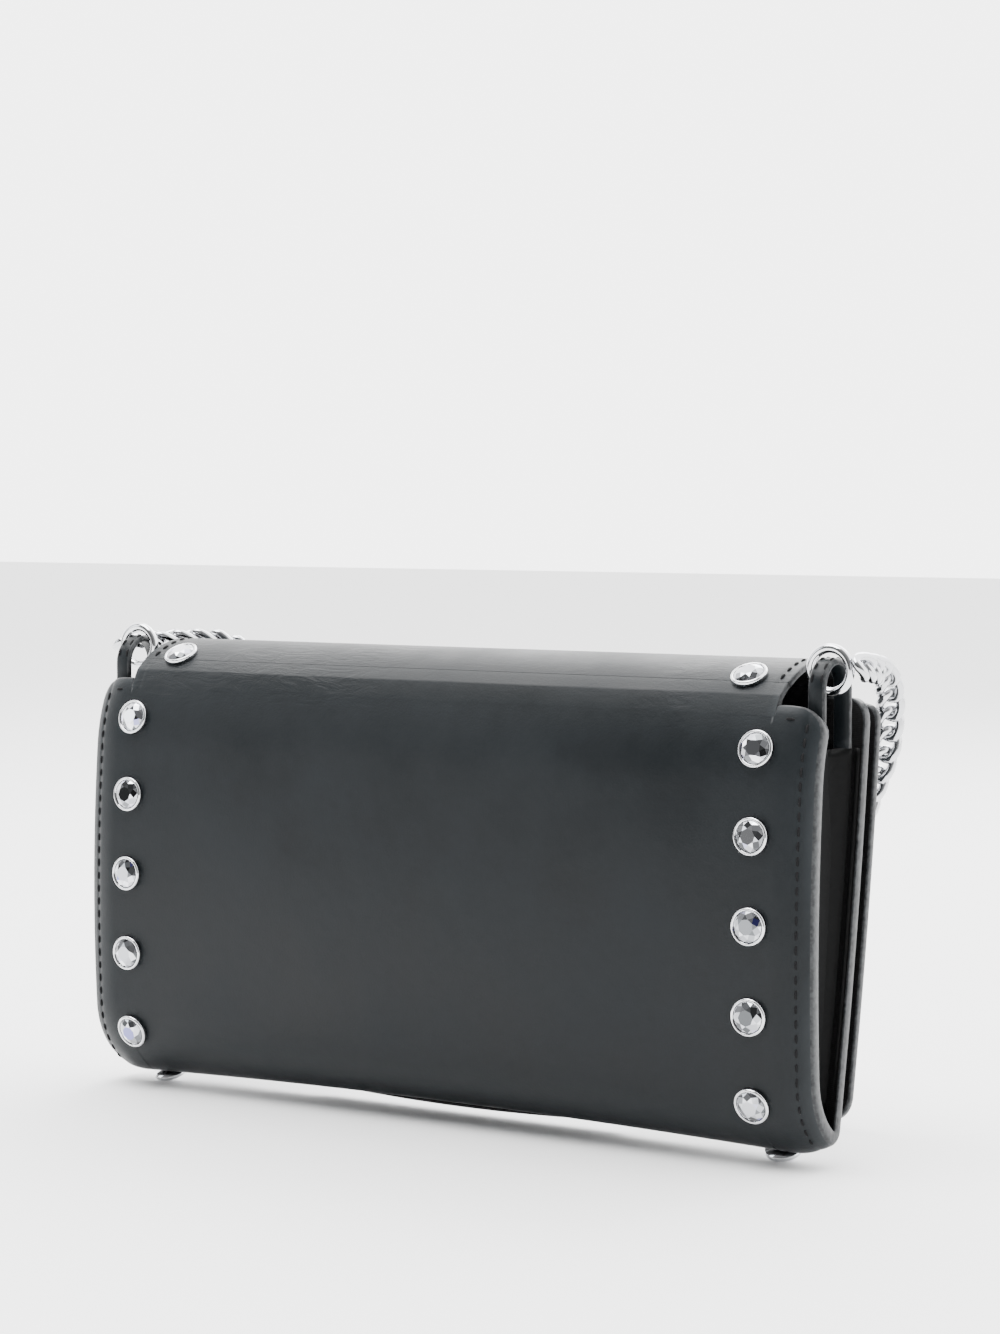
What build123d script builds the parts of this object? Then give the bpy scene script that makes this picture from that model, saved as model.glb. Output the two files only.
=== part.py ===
"""Chain wallet: a leather clutch with a fold-over flap, crystal studs and a chain strap.

Millimetres, +Z up. The flap covers the front, which faces -Y, and the plain back faces +Y.
The origin is on the floor under the middle of the wallet. Depths are measured from the
rearmost line of the back towards the front, and heights from the floor.
"""
from build123d import *
import math
import os

os.makedirs("parts", exist_ok=True)

# ---- driving dimensions -------------------------------------------------------------
REAR_Y = 17.15            # y of the rearmost line of the back
HALF_WIDTH = 96.4         # half the width over the panels
STRIP_HALF = 86.5         # half the width of the flap's narrow top strip
HINGE_DEPTH = 7.5         # where the flap leaves the back
HINGE_HEIGHT = 98.9
WALL_LEAN = 31.5          # lean of the back's top edge, degrees from upright
# The wall's outline, down the back, round the bottom fold and up the front: radius, turn
WALL_ARCS = [(41.0, 26.45), (420.0, 8.46), (20.9, 51.4), (6.0, 114.0), (900.0, 5.85)]
LEATHER = 1.2
BOARD = 1.2
LINING = 0.6
WALL = LEATHER + BOARD + LINING
SHOULDER_TOP = 97.1       # top of the panels beside the narrow strip
FRONT_TOP = 90.0          # top of the front panel between its two ears
EAR_INNER = 85.0          # where the front panel's ears begin
LINING_TOP = 94.5
BOARD_TOP = 93.0
BOARD_LOW = 19.0

# The flap's outline from its hinge over the top and down the front: radius, turn
STRIP_RISE = 42.0         # rise of the strip where it leaves the back, degrees
STRIP_ARCS = [(26.1, 40.8), (10.3, 36.2)]
FOLD_ARC = (10.3, 60.8)
LEAF_ARC = (900.0, 6.0)
HINGE_GAP = 0.36          # clearance left in the leather along each fold line
FLAP_LEATHER = 1.1
FLAP_BOARD = 0.7
FLAP_LINING = 0.4
LEAF_SHOULDER_TOP = 96.0
LEAF_SIDE_END = 9.0       # height of the leaf's lower corners
LEAF_LOW = 1.3            # height of the middle of its lower edge

# Crystal studs
STUD_COLUMN = 83.25       # half the distance between the two columns
TOP_COLUMN = 76.4         # the same on the top strip
TOP_SHARE = 0.30          # how far over the strip's first curve they sit
STUD_HEIGHTS = [87.8, 69.9, 51.3, 32.5, 13.8]
STUD_R = 4.05
CUP_HEIGHT = 1.15
CUP_LIP = 0.55
CUP_BASE = 0.4
CRYSTAL_R = STUD_R - CUP_LIP
CRYSTAL_HEIGHT = 1.9
TABLE_R = 1.9
FOOT_STUD_TURN = 58.0     # how far round the bottom fold the two foot studs sit, degrees

# Magnetic snap
SNAP_HEIGHT = 26.0
SNAP_R = 7.0
WASHER_R = 9.0
SNAP_BOSS_R = 2.2
SNAP_RECESS_R = 3.4
SNAP_CLEAR = 0.1
SOCKET_DEPTH = 1.6
RECESS_DEPTH = 1.3
BOSS_LENGTH = 1.4

# Bar ornament on the flap
BAR_HALF = 42.0
BAR_HALF_HEIGHT = 4.2
BAR_THICK = 1.5
BAR_HEIGHT = 6.8
BAR_STONES = 9
BAR_STONE_R = 2.6
BAR_FLOOR = 0.5           # metal left under each stone
BAR_STONE_PITCH = 9.0
BAR_PIN_R = 1.1
BAR_PIN_X = 30.0
STONE_HEIGHT = 0.9

# Inside
GUSSET = 1.0
GUSSET_TOP = 87.0
GUSSET_LOW = 12.0
GUSSET_EDGE = 92.5
GUSSET_FOLD = 84.5
GUSSET_LOW_FOLD = 90.0
LEAF_HALF = 78.0          # half the width of the card leaves and the zip pocket
CARD_LEAF = 0.5
CARD_TOPS = [87.0, 80.0, 73.0, 66.0]
CARD_LOW = 28.0
POCKET_DEPTH = 17.2       # depth of the zip pocket's mouth
POCKET_TOP = 76.0
POCKET_TILT = 6.0
POCKET_HALF = 2.2
POCKET_LEATHER = 0.7
POCKET_DROP = 52.0
TAPE = 0.5
TAPE_DROP = 11.0
TAPE_GAP = 0.35
TOOTH_PITCH = 3.0
TOOTH_LENGTH = 1.2
TOOTH_PAST = 0.5
TOOTH_WIDE = 1.5
TOOTH_HEIGHT = 1.1
ZIP_TEETH = 44
STOP_X = 69.0
SLIDER_X = 62.0
SLIDER_HALF = 4.6
SLIDER_HALF_WIDTH = 3.0
SLIDER_PLATE = 0.9
SLIDER_CLEAR = 0.25
LUG_IN = 1.7
LUG_OUT = 2.6
LUG_HALF = 1.3
LUG_TOP = 4.6
PULL_AXIS = 3.5
PULL_LENGTH = 17.0
PULL_HALF = 2.4
PULL_NECK_HALF = 1.4
PULL_NECK = 3.0
PULL_THICK = 1.0
PULL_BAR_R = 0.55
PULL_CLEAR = 0.05
PULL_HOLE_R = 1.2

# Chain, its rings and their leather loops
LOOP_X = 93.0
LOOP_DEPTH = 16.5
LOOP_TOP = 106.4
LOOP_OUTER = 6.5
LOOP_THICK = 1.5
LOOP_HALF = 2.0
RING_R = 4.6
RING_WIRE = 1.0
RING_HEIGHT = 103.8
CHAIN_D = 6.6
# Free chain from each ring to the hank: across, depth, height
CHAIN_RIGHT_ROUTE = [
    (-99.8, 17.7, 104.6), (-98.9, 25.2, 104.0), (-97.6, 32.6, 102.5), (-95.8, 38.6, 98.1),
    (-94.0, 42.2, 91.8), (-92.0, 44.2, 84.0), (-86.8, 44.8, 73.6), (-80.6, 44.8, 55.0),
    (-75.6, 46.4, 30.0), (-71.5, 49.5, 11.8), (-67.5, 57.0, 4.2), (-64.5, 67.5, 3.4),
    (-57.5, 77.5, 3.4), (-43.5, 82.0, 3.4),
]
CHAIN_LEFT_ROUTE = [
    (100.1, 18.2, 104.0), (97.0, 26.0, 105.2), (90.5, 36.0, 105.6), (86.4, 41.6, 104.4),
    (82.8, 46.5, 100.9), (80.2, 50.1, 95.5), (78.8, 52.0, 88.9), (78.2, 52.2, 76.0),
    (78.6, 50.8, 61.0), (79.2, 49.2, 44.0), (80.0, 47.2, 26.5), (80.4, 50.5, 10.5),
    (81.5, 60.0, 3.8), (80.2, 69.5, 3.4), (75.5, 77.0, 6.5), (68.0, 81.5, 12.0),
    (55.5, 82.0, 16.2),
]
CHAIN_ARC_SHARE = 0.45
HANK_HALF = 52.0
HANK_X = 6.0
HANK_DEPTH = 95.9
HANK_HALF_DEPTH = 17.2
HANK_HEIGHT = 20.0
HANK_ROUND = 8.0
TIE_HALF = 4.0
TIE_THICK = 0.8


def spot(depth, height):
    """A point of the side view, from its depth and height."""
    return (REAR_Y - depth, height)


def heading(degrees):
    """A direction in the side view: 0 points to the rear, 90 up."""
    return Vector(math.cos(math.radians(degrees)), math.sin(math.radians(degrees)))


def outline(start, start_heading, arcs, inset, first, last):
    """Draw steps first..last of a chain of tangent arcs, moved inwards by inset.

    Turns are positive to the left; a right-hand chain has negative turns.
    """
    side = 1 if arcs[0][1] > 0 else -1
    point = Vector(*start) + heading(start_heading + 90 * side) * inset
    direction = heading(start_heading)
    drawn = []
    for step, (radius, turn) in enumerate(arcs):
        mode = Mode.ADD if first <= step <= last else Mode.PRIVATE
        arc = JernArc(point, direction, radius - inset, turn, mode=mode)
        point, direction = arc @ 1, arc % 1
        if mode == Mode.ADD:
            drawn.append(arc)
    return drawn


def band(start, start_heading, arcs, near, far, first, last):
    """The side view of one sheet that follows the arcs between two insets."""
    with BuildSketch(Plane.YZ) as sheet:
        with BuildLine():
            inner = outline(start, start_heading, arcs, near, first, last)
            outer = outline(start, start_heading, arcs, far, first, last)
            Line(inner[0] @ 0, outer[0] @ 0)
            Line(inner[-1] @ 1, outer[-1] @ 1)
        make_face()
    return sheet.sketch


WALL_START = spot(HINGE_DEPTH, HINGE_HEIGHT)
WALL_HEADING = WALL_LEAN - 90
WALL_TURNS = [(radius, -turn) for radius, turn in WALL_ARCS]
STRIP_HEADING = 180 - STRIP_RISE
FLAP_ARCS = STRIP_ARCS + [FOLD_ARC, LEAF_ARC]


def wall_band(near, far, first=0, last=4):
    """A sheet of the body wall between two depths under its outer face."""
    return band(WALL_START, WALL_HEADING, WALL_TURNS, near, far, first, last)


# Side-view lines of the outer faces, used to place what is fixed on them
with BuildLine() as wall_line:
    back_top, back_middle, back_low, bottom_fold, front_face = outline(
        WALL_START, WALL_HEADING, WALL_TURNS, 0, 0, 4
    )
with BuildLine() as flap_line:
    strip_edge, fold_edge, fold_lower_edge, leaf_face = outline(
        WALL_START, STRIP_HEADING, FLAP_ARCS, 0, 0, 3
    )


def face_plane(edge, share, x, side):
    """A plane on an outer face at a share of one of its arcs, facing outwards.

    side is 1 where outwards is to the left of the line, and -1 to the right.
    """
    point, along = edge @ share, edge % share
    outward = Vector(0, -along.Y, along.X) * side
    return Plane(origin=(x, point.X, point.Y), x_dir=(1, 0, 0), z_dir=outward)


def share_at(edge, height):
    """How far along a steep arc its height is reached."""
    low, high = 0.0, 1.0
    rising = (edge @ 1).Y > (edge @ 0).Y
    for _ in range(40):
        middle = (low + high) / 2
        if ((edge @ middle).Y < height) == rising:
            low = middle
        else:
            high = middle
    return (low + high) / 2


def back_plane(height, x):
    """The plane of the back's outer face at a height."""
    for edge in (back_top, back_middle, back_low):
        if (edge @ 1).Y <= height <= (edge @ 0).Y:
            return face_plane(edge, share_at(edge, height), x, 1)
    raise ValueError(f"no back face at height {height}")


def leaf_plane(height, x):
    """The plane of the flap leaf's outer face at a height."""
    return face_plane(leaf_face, share_at(leaf_face, height), x, -1)


REAR_STUDS = {
    side: [back_plane(height, sign * STUD_COLUMN) for height in STUD_HEIGHTS]
    for side, sign in (("left", 1), ("right", -1))
}
FRONT_STUDS = {
    side: [leaf_plane(height, sign * STUD_COLUMN) for height in STUD_HEIGHTS]
    for side, sign in (("left", 1), ("right", -1))
}
FOOT_SHARE = FOOT_STUD_TURN / WALL_ARCS[3][1]
FOOT_STUDS = [face_plane(bottom_fold, FOOT_SHARE, x, 1) for x in (STUD_COLUMN, -STUD_COLUMN)]
TOP_STUDS = [face_plane(strip_edge, TOP_SHARE, x, -1) for x in (TOP_COLUMN, -TOP_COLUMN)]
SNAP_FRONT = face_plane(front_face, share_at(front_face, SNAP_HEIGHT), 0, 1)
SNAP_LEAF = leaf_plane(SNAP_HEIGHT, 0)
BAR_PLANE = leaf_plane(BAR_HEIGHT, 0)


def finish(builder, name):
    """Name a finished sub-part and write its file."""
    builder.part.label = name
    export_step(builder.part, f"parts/{name}.step")


# ---- body: leather, boards and lining -----------------------------------------------
SIDEWAYS = (1, 0, 0)
REACH = 60.0              # more than the wallet's depth, for cuts from front to back
RISING = (Align.CENTER, Align.CENTER, Align.MIN)
SINKING = (Align.CENTER, Align.CENTER, Align.MAX)


def cut_shoulders():
    """Step the back's top edge down beside the strip, and the front's between its ears."""
    side = HALF_WIDTH - STRIP_HALF
    for sign in (1, -1):
        with Locations((sign * (STRIP_HALF + side), REAR_Y - HINGE_DEPTH, SHOULDER_TOP)):
            Box(2 * side, 2 * 8, 10, align=RISING, mode=Mode.SUBTRACT)
    with Locations((0, REAR_Y - HINGE_DEPTH - 22, FRONT_TOP)):
        Box(2 * EAR_INNER, 20, 20, align=RISING, mode=Mode.SUBTRACT)


def keep_heights(low, high):
    """Cut away what is below or above two heights."""
    with Locations((0, 0, low)):
        Box(4 * HALF_WIDTH, 2 * REACH, 2 * REACH, align=SINKING, mode=Mode.SUBTRACT)
    with Locations((0, 0, high)):
        Box(4 * HALF_WIDTH, 2 * REACH, 2 * REACH, align=RISING, mode=Mode.SUBTRACT)


def bore(plane, radius, near, far):
    """Bore a straight hole between two depths under a plane."""
    with Locations(plane.offset(-near)):
        Cylinder(radius, far - near, align=SINKING, mode=Mode.SUBTRACT)


with BuildPart() as body_leather:
    add(wall_band(0, LEATHER))
    extrude(amount=HALF_WIDTH, both=True, dir=SIDEWAYS)
    cut_shoulders()
    bore(SNAP_FRONT, SNAP_R + SNAP_CLEAR, -1, LEATHER + 0.4)
finish(body_leather, "body_leather")

with BuildPart() as rear_board:
    add(wall_band(LEATHER, LEATHER + BOARD, 0, 2))
    extrude(amount=HALF_WIDTH - 3, both=True, dir=SIDEWAYS)
    keep_heights(BOARD_LOW, BOARD_TOP)
finish(rear_board, "rear_board")

with BuildPart() as front_board:
    add(wall_band(LEATHER, LEATHER + BOARD, 4, 4))
    extrude(amount=HALF_WIDTH - 3, both=True, dir=SIDEWAYS)
    keep_heights(0, FRONT_TOP - 1.5)
    bore(SNAP_FRONT, WASHER_R + SNAP_CLEAR, 0, WALL)
finish(front_board, "front_board")

with BuildPart() as body_lining:
    add(wall_band(LEATHER + BOARD, WALL))
    extrude(amount=HALF_WIDTH - 1.5, both=True, dir=SIDEWAYS)
    cut_shoulders()
    keep_heights(0, LINING_TOP)
finish(body_lining, "body_lining")

# ---- gussets: a folded leaf of leather closes each end ---------------------------------
with BuildPart() as inner_space:
    with BuildSketch(Plane.YZ):
        with BuildLine():
            hollow = outline(WALL_START, WALL_HEADING, WALL_TURNS, WALL, 0, 4)
            Line(hollow[0] @ 0, hollow[-1] @ 1)
        make_face()
    extrude(amount=HALF_WIDTH, both=True)


def gusset_plan(height, fold_x, middle_depth, sign):
    """Plan view of the folded gusset at one height; its ends run on past the walls."""
    slope = (GUSSET_EDGE - fold_x) / 11.0
    ends = [(middle_depth - 18, 18 * slope), (middle_depth, 0.0), (middle_depth + 18, 18 * slope)]
    line = [(sign * (fold_x + out), REAR_Y - depth) for depth, out in ends]
    back_line = [(x - sign * GUSSET, y) for x, y in reversed(line)]
    with BuildSketch(Plane.XY.offset(height)) as plan:
        with BuildLine():
            Polyline(*line, *back_line, close=True)
        make_face()
    return plan.sketch


for side, sign in (("left", 1), ("right", -1)):
    with BuildPart() as gusset:
        add(gusset_plan(GUSSET_LOW, GUSSET_LOW_FOLD, 11.0, sign))
        add(gusset_plan(GUSSET_TOP, GUSSET_FOLD, 16.5, sign))
        loft(ruled=True)
        add(inner_space.part, mode=Mode.INTERSECT)
    finish(gusset, f"gusset_{side}")

# ---- card slots on the back wall -----------------------------------------------------
for number, top in enumerate(CARD_TOPS):
    near = WALL + number * CARD_LEAF
    with BuildPart() as card_leaf:
        add(wall_band(near, near + CARD_LEAF, 0, 1))
        extrude(amount=LEAF_HALF, both=True, dir=SIDEWAYS)
        keep_heights(CARD_LOW, top)
    name = "slip_pocket_leaf" if number == 0 else f"card_leaf_{number}"
    finish(card_leaf, name)

# ---- zip pocket in the middle ----------------------------------------------------------
tilt = math.radians(POCKET_TILT)
ACROSS = Vector(0, math.cos(tilt), math.sin(tilt))
POCKET_PLANE = Plane(
    origin=(0, REAR_Y - POCKET_DEPTH, POCKET_TOP), x_dir=ACROSS, z_dir=(1, 0, 0)
)

with BuildPart() as zip_pocket:
    with BuildSketch(POCKET_PLANE):
        with Locations((0, -POCKET_DROP / 2)):
            Rectangle(2 * POCKET_HALF, POCKET_DROP)
        with Locations((0, -(POCKET_DROP - POCKET_LEATHER) / 2)):
            inside = 2 * (POCKET_HALF - POCKET_LEATHER)
            Rectangle(inside, POCKET_DROP - POCKET_LEATHER, mode=Mode.SUBTRACT)
    extrude(amount=LEAF_HALF, both=True)
finish(zip_pocket, "zip_pocket")

TAPE_OUT = POCKET_HALF - POCKET_LEATHER
for side, sign in (("rear", 1), ("front", -1)):
    with BuildPart() as zip_tape:
        with BuildSketch(POCKET_PLANE):
            with Locations((sign * (TAPE_OUT - TAPE / 2), -TAPE_DROP / 2)):
                Rectangle(TAPE, TAPE_DROP)
            with Locations((sign * (TAPE_OUT + TAPE_GAP) / 2, -TAPE / 2)):
                Rectangle(TAPE_OUT - TAPE_GAP, TAPE)
        extrude(amount=LEAF_HALF - 1, both=True)
    finish(zip_tape, f"zip_tape_{side}")

    with BuildPart() as zip_teeth:
        shift = (sign - 1) / 2 * TOOTH_PITCH / 2
        middle = sign * (TOOTH_WIDE - TOOTH_PAST) / 2
        for place in range(ZIP_TEETH):
            x = (place - (ZIP_TEETH - 1) / 2) * TOOTH_PITCH + shift
            with BuildSketch(POCKET_PLANE.offset(x)):
                with Locations((middle, TOOTH_HEIGHT / 2)):
                    Rectangle(TOOTH_WIDE + TOOTH_PAST, TOOTH_HEIGHT)
            extrude(amount=TOOTH_LENGTH / 2, both=True)
    finish(zip_teeth, f"zip_teeth_{side}")

with BuildPart() as zip_stops:
    for x in (STOP_X, -STOP_X):
        with BuildSketch(POCKET_PLANE.offset(x)):
            with Locations((0, TOOTH_HEIGHT / 2)):
                Rectangle(2 * TOOTH_WIDE, TOOTH_HEIGHT)
        extrude(amount=0.8, both=True)
finish(zip_stops, "zip_stops")

PLATE_LOW = TOOTH_HEIGHT + SLIDER_CLEAR
PLATE_TOP = PLATE_LOW + SLIDER_PLATE
SLIDER_PLANE = POCKET_PLANE.offset(SLIDER_X)
with BuildPart() as zip_slider:
    with BuildSketch(SLIDER_PLANE):
        with Locations((0, (SLIDER_CLEAR + PLATE_TOP) / 2)):
            Rectangle(2 * SLIDER_HALF_WIDTH, PLATE_TOP - SLIDER_CLEAR)
        with Locations((0, PLATE_LOW / 2)):
            Rectangle(2 * (TOOTH_WIDE + SLIDER_CLEAR), PLATE_LOW, mode=Mode.SUBTRACT)
    extrude(amount=SLIDER_HALF, both=True)
    with BuildSketch(SLIDER_PLANE):
        for sign in (1, -1):
            with Locations((sign * (LUG_IN + LUG_OUT) / 2, (PLATE_TOP + LUG_TOP) / 2)):
                Rectangle(LUG_OUT - LUG_IN, LUG_TOP - PLATE_TOP)
    extrude(amount=LUG_HALF, both=True)
    axis_point = SLIDER_PLANE.from_local_coords((0, PULL_AXIS, 0))
    with Locations(Plane(origin=axis_point, z_dir=ACROSS)):
        Cylinder(PULL_BAR_R + PULL_CLEAR, 2 * LUG_OUT + 1, mode=Mode.SUBTRACT)
finish(zip_slider, "zip_slider")

PULL_PLANE = Plane(origin=axis_point, x_dir=(-1, 0, 0), z_dir=ACROSS.cross(Vector(-1, 0, 0)))
with BuildPart() as zip_pull:
    with Locations(Plane(origin=axis_point, z_dir=ACROSS)):
        Cylinder(PULL_BAR_R, 2 * LUG_OUT)
    with BuildSketch(PULL_PLANE.offset(-PULL_THICK / 2)):
        with Locations((PULL_NECK / 2 + 0.1, 0)):
            Rectangle(PULL_NECK, 2 * PULL_NECK_HALF)
        with Locations(((PULL_NECK + PULL_LENGTH) / 2, 0)):
            RectangleRounded(PULL_LENGTH - PULL_NECK, 2 * PULL_HALF, PULL_HALF * 0.8)
        with Locations((PULL_LENGTH - 2.8, 0)):
            Circle(PULL_HOLE_R, mode=Mode.SUBTRACT)
    extrude(amount=PULL_THICK)
finish(zip_pull, "zip_pull")

# ---- flap: the strip over the top and the leaf down the front --------------------------
GAP_AT_HINGE = math.degrees(HINGE_GAP / STRIP_ARCS[0][0])
GAP_AT_FOLD = math.degrees(HINGE_GAP / FOLD_ARC[0])
FOLD_POINT = fold_edge @ 1
FOLD_HEADING = STRIP_HEADING + STRIP_ARCS[0][1] + STRIP_ARCS[1][1]


def strip_band(near, far):
    """A sheet of the top strip, between two depths under its outer face."""
    lead = JernArc(WALL_START, heading(STRIP_HEADING), STRIP_ARCS[0][0], GAP_AT_HINGE)
    rest = [(STRIP_ARCS[0][0], STRIP_ARCS[0][1] - GAP_AT_HINGE), STRIP_ARCS[1]]
    return band(lead @ 1, STRIP_HEADING + GAP_AT_HINGE, rest, near, far, 0, 1)


def leaf_band(near, far, first=0):
    """A sheet of the front leaf, with or without the lower half of the fold."""
    lead = JernArc(FOLD_POINT, heading(FOLD_HEADING), FOLD_ARC[0], GAP_AT_FOLD)
    rest = [(FOLD_ARC[0], FOLD_ARC[1] - GAP_AT_FOLD), LEAF_ARC]
    return band(lead @ 1, FOLD_HEADING + GAP_AT_FOLD, rest, near, far, first, 1)


def trim_leaf(inset):
    """Give the leaf its curved lower edge and its shoulders beside the strip."""
    half, neck = HALF_WIDTH - inset, STRIP_HALF - inset
    low, side_end = LEAF_LOW + inset, LEAF_SIDE_END + inset
    top, shoulder = HINGE_HEIGHT + 20, LEAF_SHOULDER_TOP - inset
    with BuildSketch(Plane.XZ) as view:
        with BuildLine():
            ThreePointArc((-half, side_end), (0, low), (half, side_end))
            Polyline((half, side_end), (half, shoulder), (neck, shoulder), (neck, top))
            Line((neck, top), (-neck, top))
            Polyline((-neck, top), (-neck, shoulder), (-half, shoulder), (-half, side_end))
        make_face()
    extrude(view.sketch, amount=REACH, both=True, mode=Mode.INTERSECT)


with BuildPart() as strip_leather:
    add(strip_band(0, FLAP_LEATHER))
    extrude(amount=STRIP_HALF, both=True, dir=SIDEWAYS)
finish(strip_leather, "strip_leather")

with BuildPart() as strip_lining:
    add(strip_band(FLAP_LEATHER, FLAP_LEATHER + FLAP_LINING))
    extrude(amount=STRIP_HALF - 1.5, both=True, dir=SIDEWAYS)
finish(strip_lining, "strip_lining")

BOARD_IN = FLAP_LEATHER
LINING_IN = FLAP_LEATHER + FLAP_BOARD
LEAF_THICK = LINING_IN + FLAP_LINING
BAR_PINS = [
    Plane(origin=BAR_PLANE.from_local_coords((x, 0, 0)), z_dir=BAR_PLANE.z_dir)
    for x in (-BAR_PIN_X, BAR_PIN_X)
]

with BuildPart() as leaf_leather:
    add(leaf_band(0, FLAP_LEATHER))
    extrude(amount=HALF_WIDTH, both=True, dir=SIDEWAYS)
    trim_leaf(0)
    for pin in BAR_PINS:
        bore(pin, BAR_PIN_R, -1, LINING_IN)
finish(leaf_leather, "leaf_leather")

with BuildPart() as leaf_board:
    add(leaf_band(BOARD_IN, LINING_IN, first=1))
    extrude(amount=HALF_WIDTH, both=True, dir=SIDEWAYS)
    trim_leaf(3)
    bore(SNAP_LEAF, WASHER_R + SNAP_CLEAR, 0, LEAF_THICK)
    for pin in BAR_PINS:
        bore(pin, BAR_PIN_R, -1, LINING_IN)
finish(leaf_board, "leaf_board")

with BuildPart() as leaf_lining:
    add(leaf_band(LINING_IN, LEAF_THICK))
    extrude(amount=HALF_WIDTH, both=True, dir=SIDEWAYS)
    trim_leaf(1.2)
    bore(SNAP_LEAF, SNAP_R + SNAP_CLEAR, 0, LEAF_THICK + 1)
finish(leaf_lining, "leaf_lining")

# ---- magnetic snap ----------------------------------------------------------------------
with BuildPart() as snap_socket:
    with Locations(SNAP_FRONT):
        Cylinder(SNAP_R, SOCKET_DEPTH, align=SINKING)
    bore(SNAP_FRONT, SNAP_RECESS_R, -1, RECESS_DEPTH)
finish(snap_socket, "snap_socket")

with BuildPart() as snap_socket_washer:
    with Locations(SNAP_FRONT.offset(-SOCKET_DEPTH)):
        Cylinder(WASHER_R, LEATHER + BOARD - SOCKET_DEPTH - 0.05, align=SINKING)
finish(snap_socket_washer, "snap_socket_washer")

with BuildPart() as snap_stud_washer:
    with Locations(SNAP_LEAF.offset(-BOARD_IN - 0.05)):
        Cylinder(WASHER_R, FLAP_BOARD - 0.05, align=SINKING)
finish(snap_stud_washer, "snap_stud_washer")

with BuildPart() as snap_stud:
    with Locations(SNAP_LEAF.offset(-LINING_IN)):
        Cylinder(SNAP_R, FLAP_LINING, align=SINKING)
    with Locations(SNAP_LEAF.offset(-LEAF_THICK)):
        Cylinder(SNAP_BOSS_R, BOSS_LENGTH, align=SINKING)
finish(snap_stud, "snap_stud")

# ---- crystal studs -----------------------------------------------------------------------
def stud_group(planes, name):
    """One group of studs: round metal cups, and the cut crystals set in them."""
    with BuildPart() as cups:
        with Locations(*planes):
            Cylinder(STUD_R, CUP_HEIGHT, align=RISING)
        with Locations(*[plane.offset(CUP_BASE) for plane in planes]):
            Cylinder(CRYSTAL_R, CUP_HEIGHT, align=RISING, mode=Mode.SUBTRACT)
    finish(cups, f"{name}_stud_cups")

    with BuildPart() as crystals:
        with Locations(*[plane.offset(CUP_BASE) for plane in planes]):
            Cylinder(CRYSTAL_R, CUP_HEIGHT - CUP_BASE, align=RISING)
        with Locations(*[plane.offset(CUP_HEIGHT) for plane in planes]):
            Cone(CRYSTAL_R, TABLE_R, CRYSTAL_HEIGHT - CUP_HEIGHT, align=RISING)
    finish(crystals, f"{name}_stud_crystals")


for side in ("left", "right"):
    stud_group(REAR_STUDS[side], f"rear_{side}")
    stud_group(FRONT_STUDS[side], f"front_{side}")
stud_group(FOOT_STUDS, "foot")
stud_group(TOP_STUDS, "top")

# ---- bar ornament ------------------------------------------------------------------------
BAR_SPOTS = [((place - (BAR_STONES - 1) / 2) * BAR_STONE_PITCH, 0) for place in range(BAR_STONES)]
with BuildPart() as bar_plate:
    with BuildSketch(BAR_PLANE):
        RectangleRounded(2 * BAR_HALF, 2 * BAR_HALF_HEIGHT, BAR_HALF_HEIGHT * 0.9)
    extrude(amount=BAR_THICK)
    with Locations(BAR_PLANE.offset(BAR_THICK)):
        with Locations(*BAR_SPOTS):
            Cylinder(BAR_STONE_R, 2 * (BAR_THICK - BAR_FLOOR), mode=Mode.SUBTRACT)
finish(bar_plate, "bar_plate")

with BuildPart() as bar_stones:
    with Locations(BAR_PLANE.offset(BAR_FLOOR)):
        with Locations(*BAR_SPOTS):
            Cylinder(BAR_STONE_R, BAR_THICK - BAR_FLOOR, align=RISING)
    with Locations(BAR_PLANE.offset(BAR_THICK)):
        with Locations(*BAR_SPOTS):
            Cone(BAR_STONE_R, BAR_STONE_R / 2, STONE_HEIGHT, align=RISING)
finish(bar_stones, "bar_stones")

with BuildPart() as bar_pins:
    with Locations(*BAR_PINS):
        Cylinder(BAR_PIN_R, LINING_IN, align=SINKING)
finish(bar_pins, "bar_pins")

# ---- leather loops and chain rings ---------------------------------------------------------
LOOP_CENTRE = LOOP_TOP - LOOP_OUTER
for side, sign in (("left", 1), ("right", -1)):
    with BuildPart() as loop:
        with BuildSketch(Plane.YZ.offset(sign * LOOP_X)):
            with Locations(spot(LOOP_DEPTH, LOOP_CENTRE)):
                Circle(LOOP_OUTER)
            with Locations(spot(LOOP_DEPTH, (LOOP_CENTRE + GUSSET_TOP) / 2)):
                Rectangle(2 * LOOP_OUTER, LOOP_CENTRE - GUSSET_TOP)
            with Locations(spot(LOOP_DEPTH, LOOP_CENTRE)):
                Circle(LOOP_OUTER - LOOP_THICK, mode=Mode.SUBTRACT)
            with Locations(spot(LOOP_DEPTH, (LOOP_CENTRE + GUSSET_TOP) / 2)):
                width = 2 * (LOOP_OUTER - LOOP_THICK)
                Rectangle(width, LOOP_CENTRE - GUSSET_TOP, mode=Mode.SUBTRACT)
        extrude(amount=LOOP_HALF, both=True)
    finish(loop, f"leather_loop_{side}")

    with BuildPart() as ring:
        middle = (sign * LOOP_X, REAR_Y - LOOP_DEPTH, RING_HEIGHT)
        with Locations(Plane(origin=middle, x_dir=(1, 0, 0), z_dir=(0, 1, 0))):
            Torus(RING_R, RING_WIRE)
    finish(ring, f"chain_ring_{side}")


# ---- chain -----------------------------------------------------------------------------------
def corner_radii(points):
    """The radius of the arc at each corner of a free chain's route."""
    radii = []
    for before, corner, after in zip(points, points[1:], points[2:]):
        arriving, leaving = corner - before, after - corner
        turn = math.radians(arriving.get_angle(leaving))
        shorter = min(arriving.length, leaving.length)
        radii.append(CHAIN_ARC_SHARE * shorter / math.tan(turn / 2))
    return radii


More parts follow.
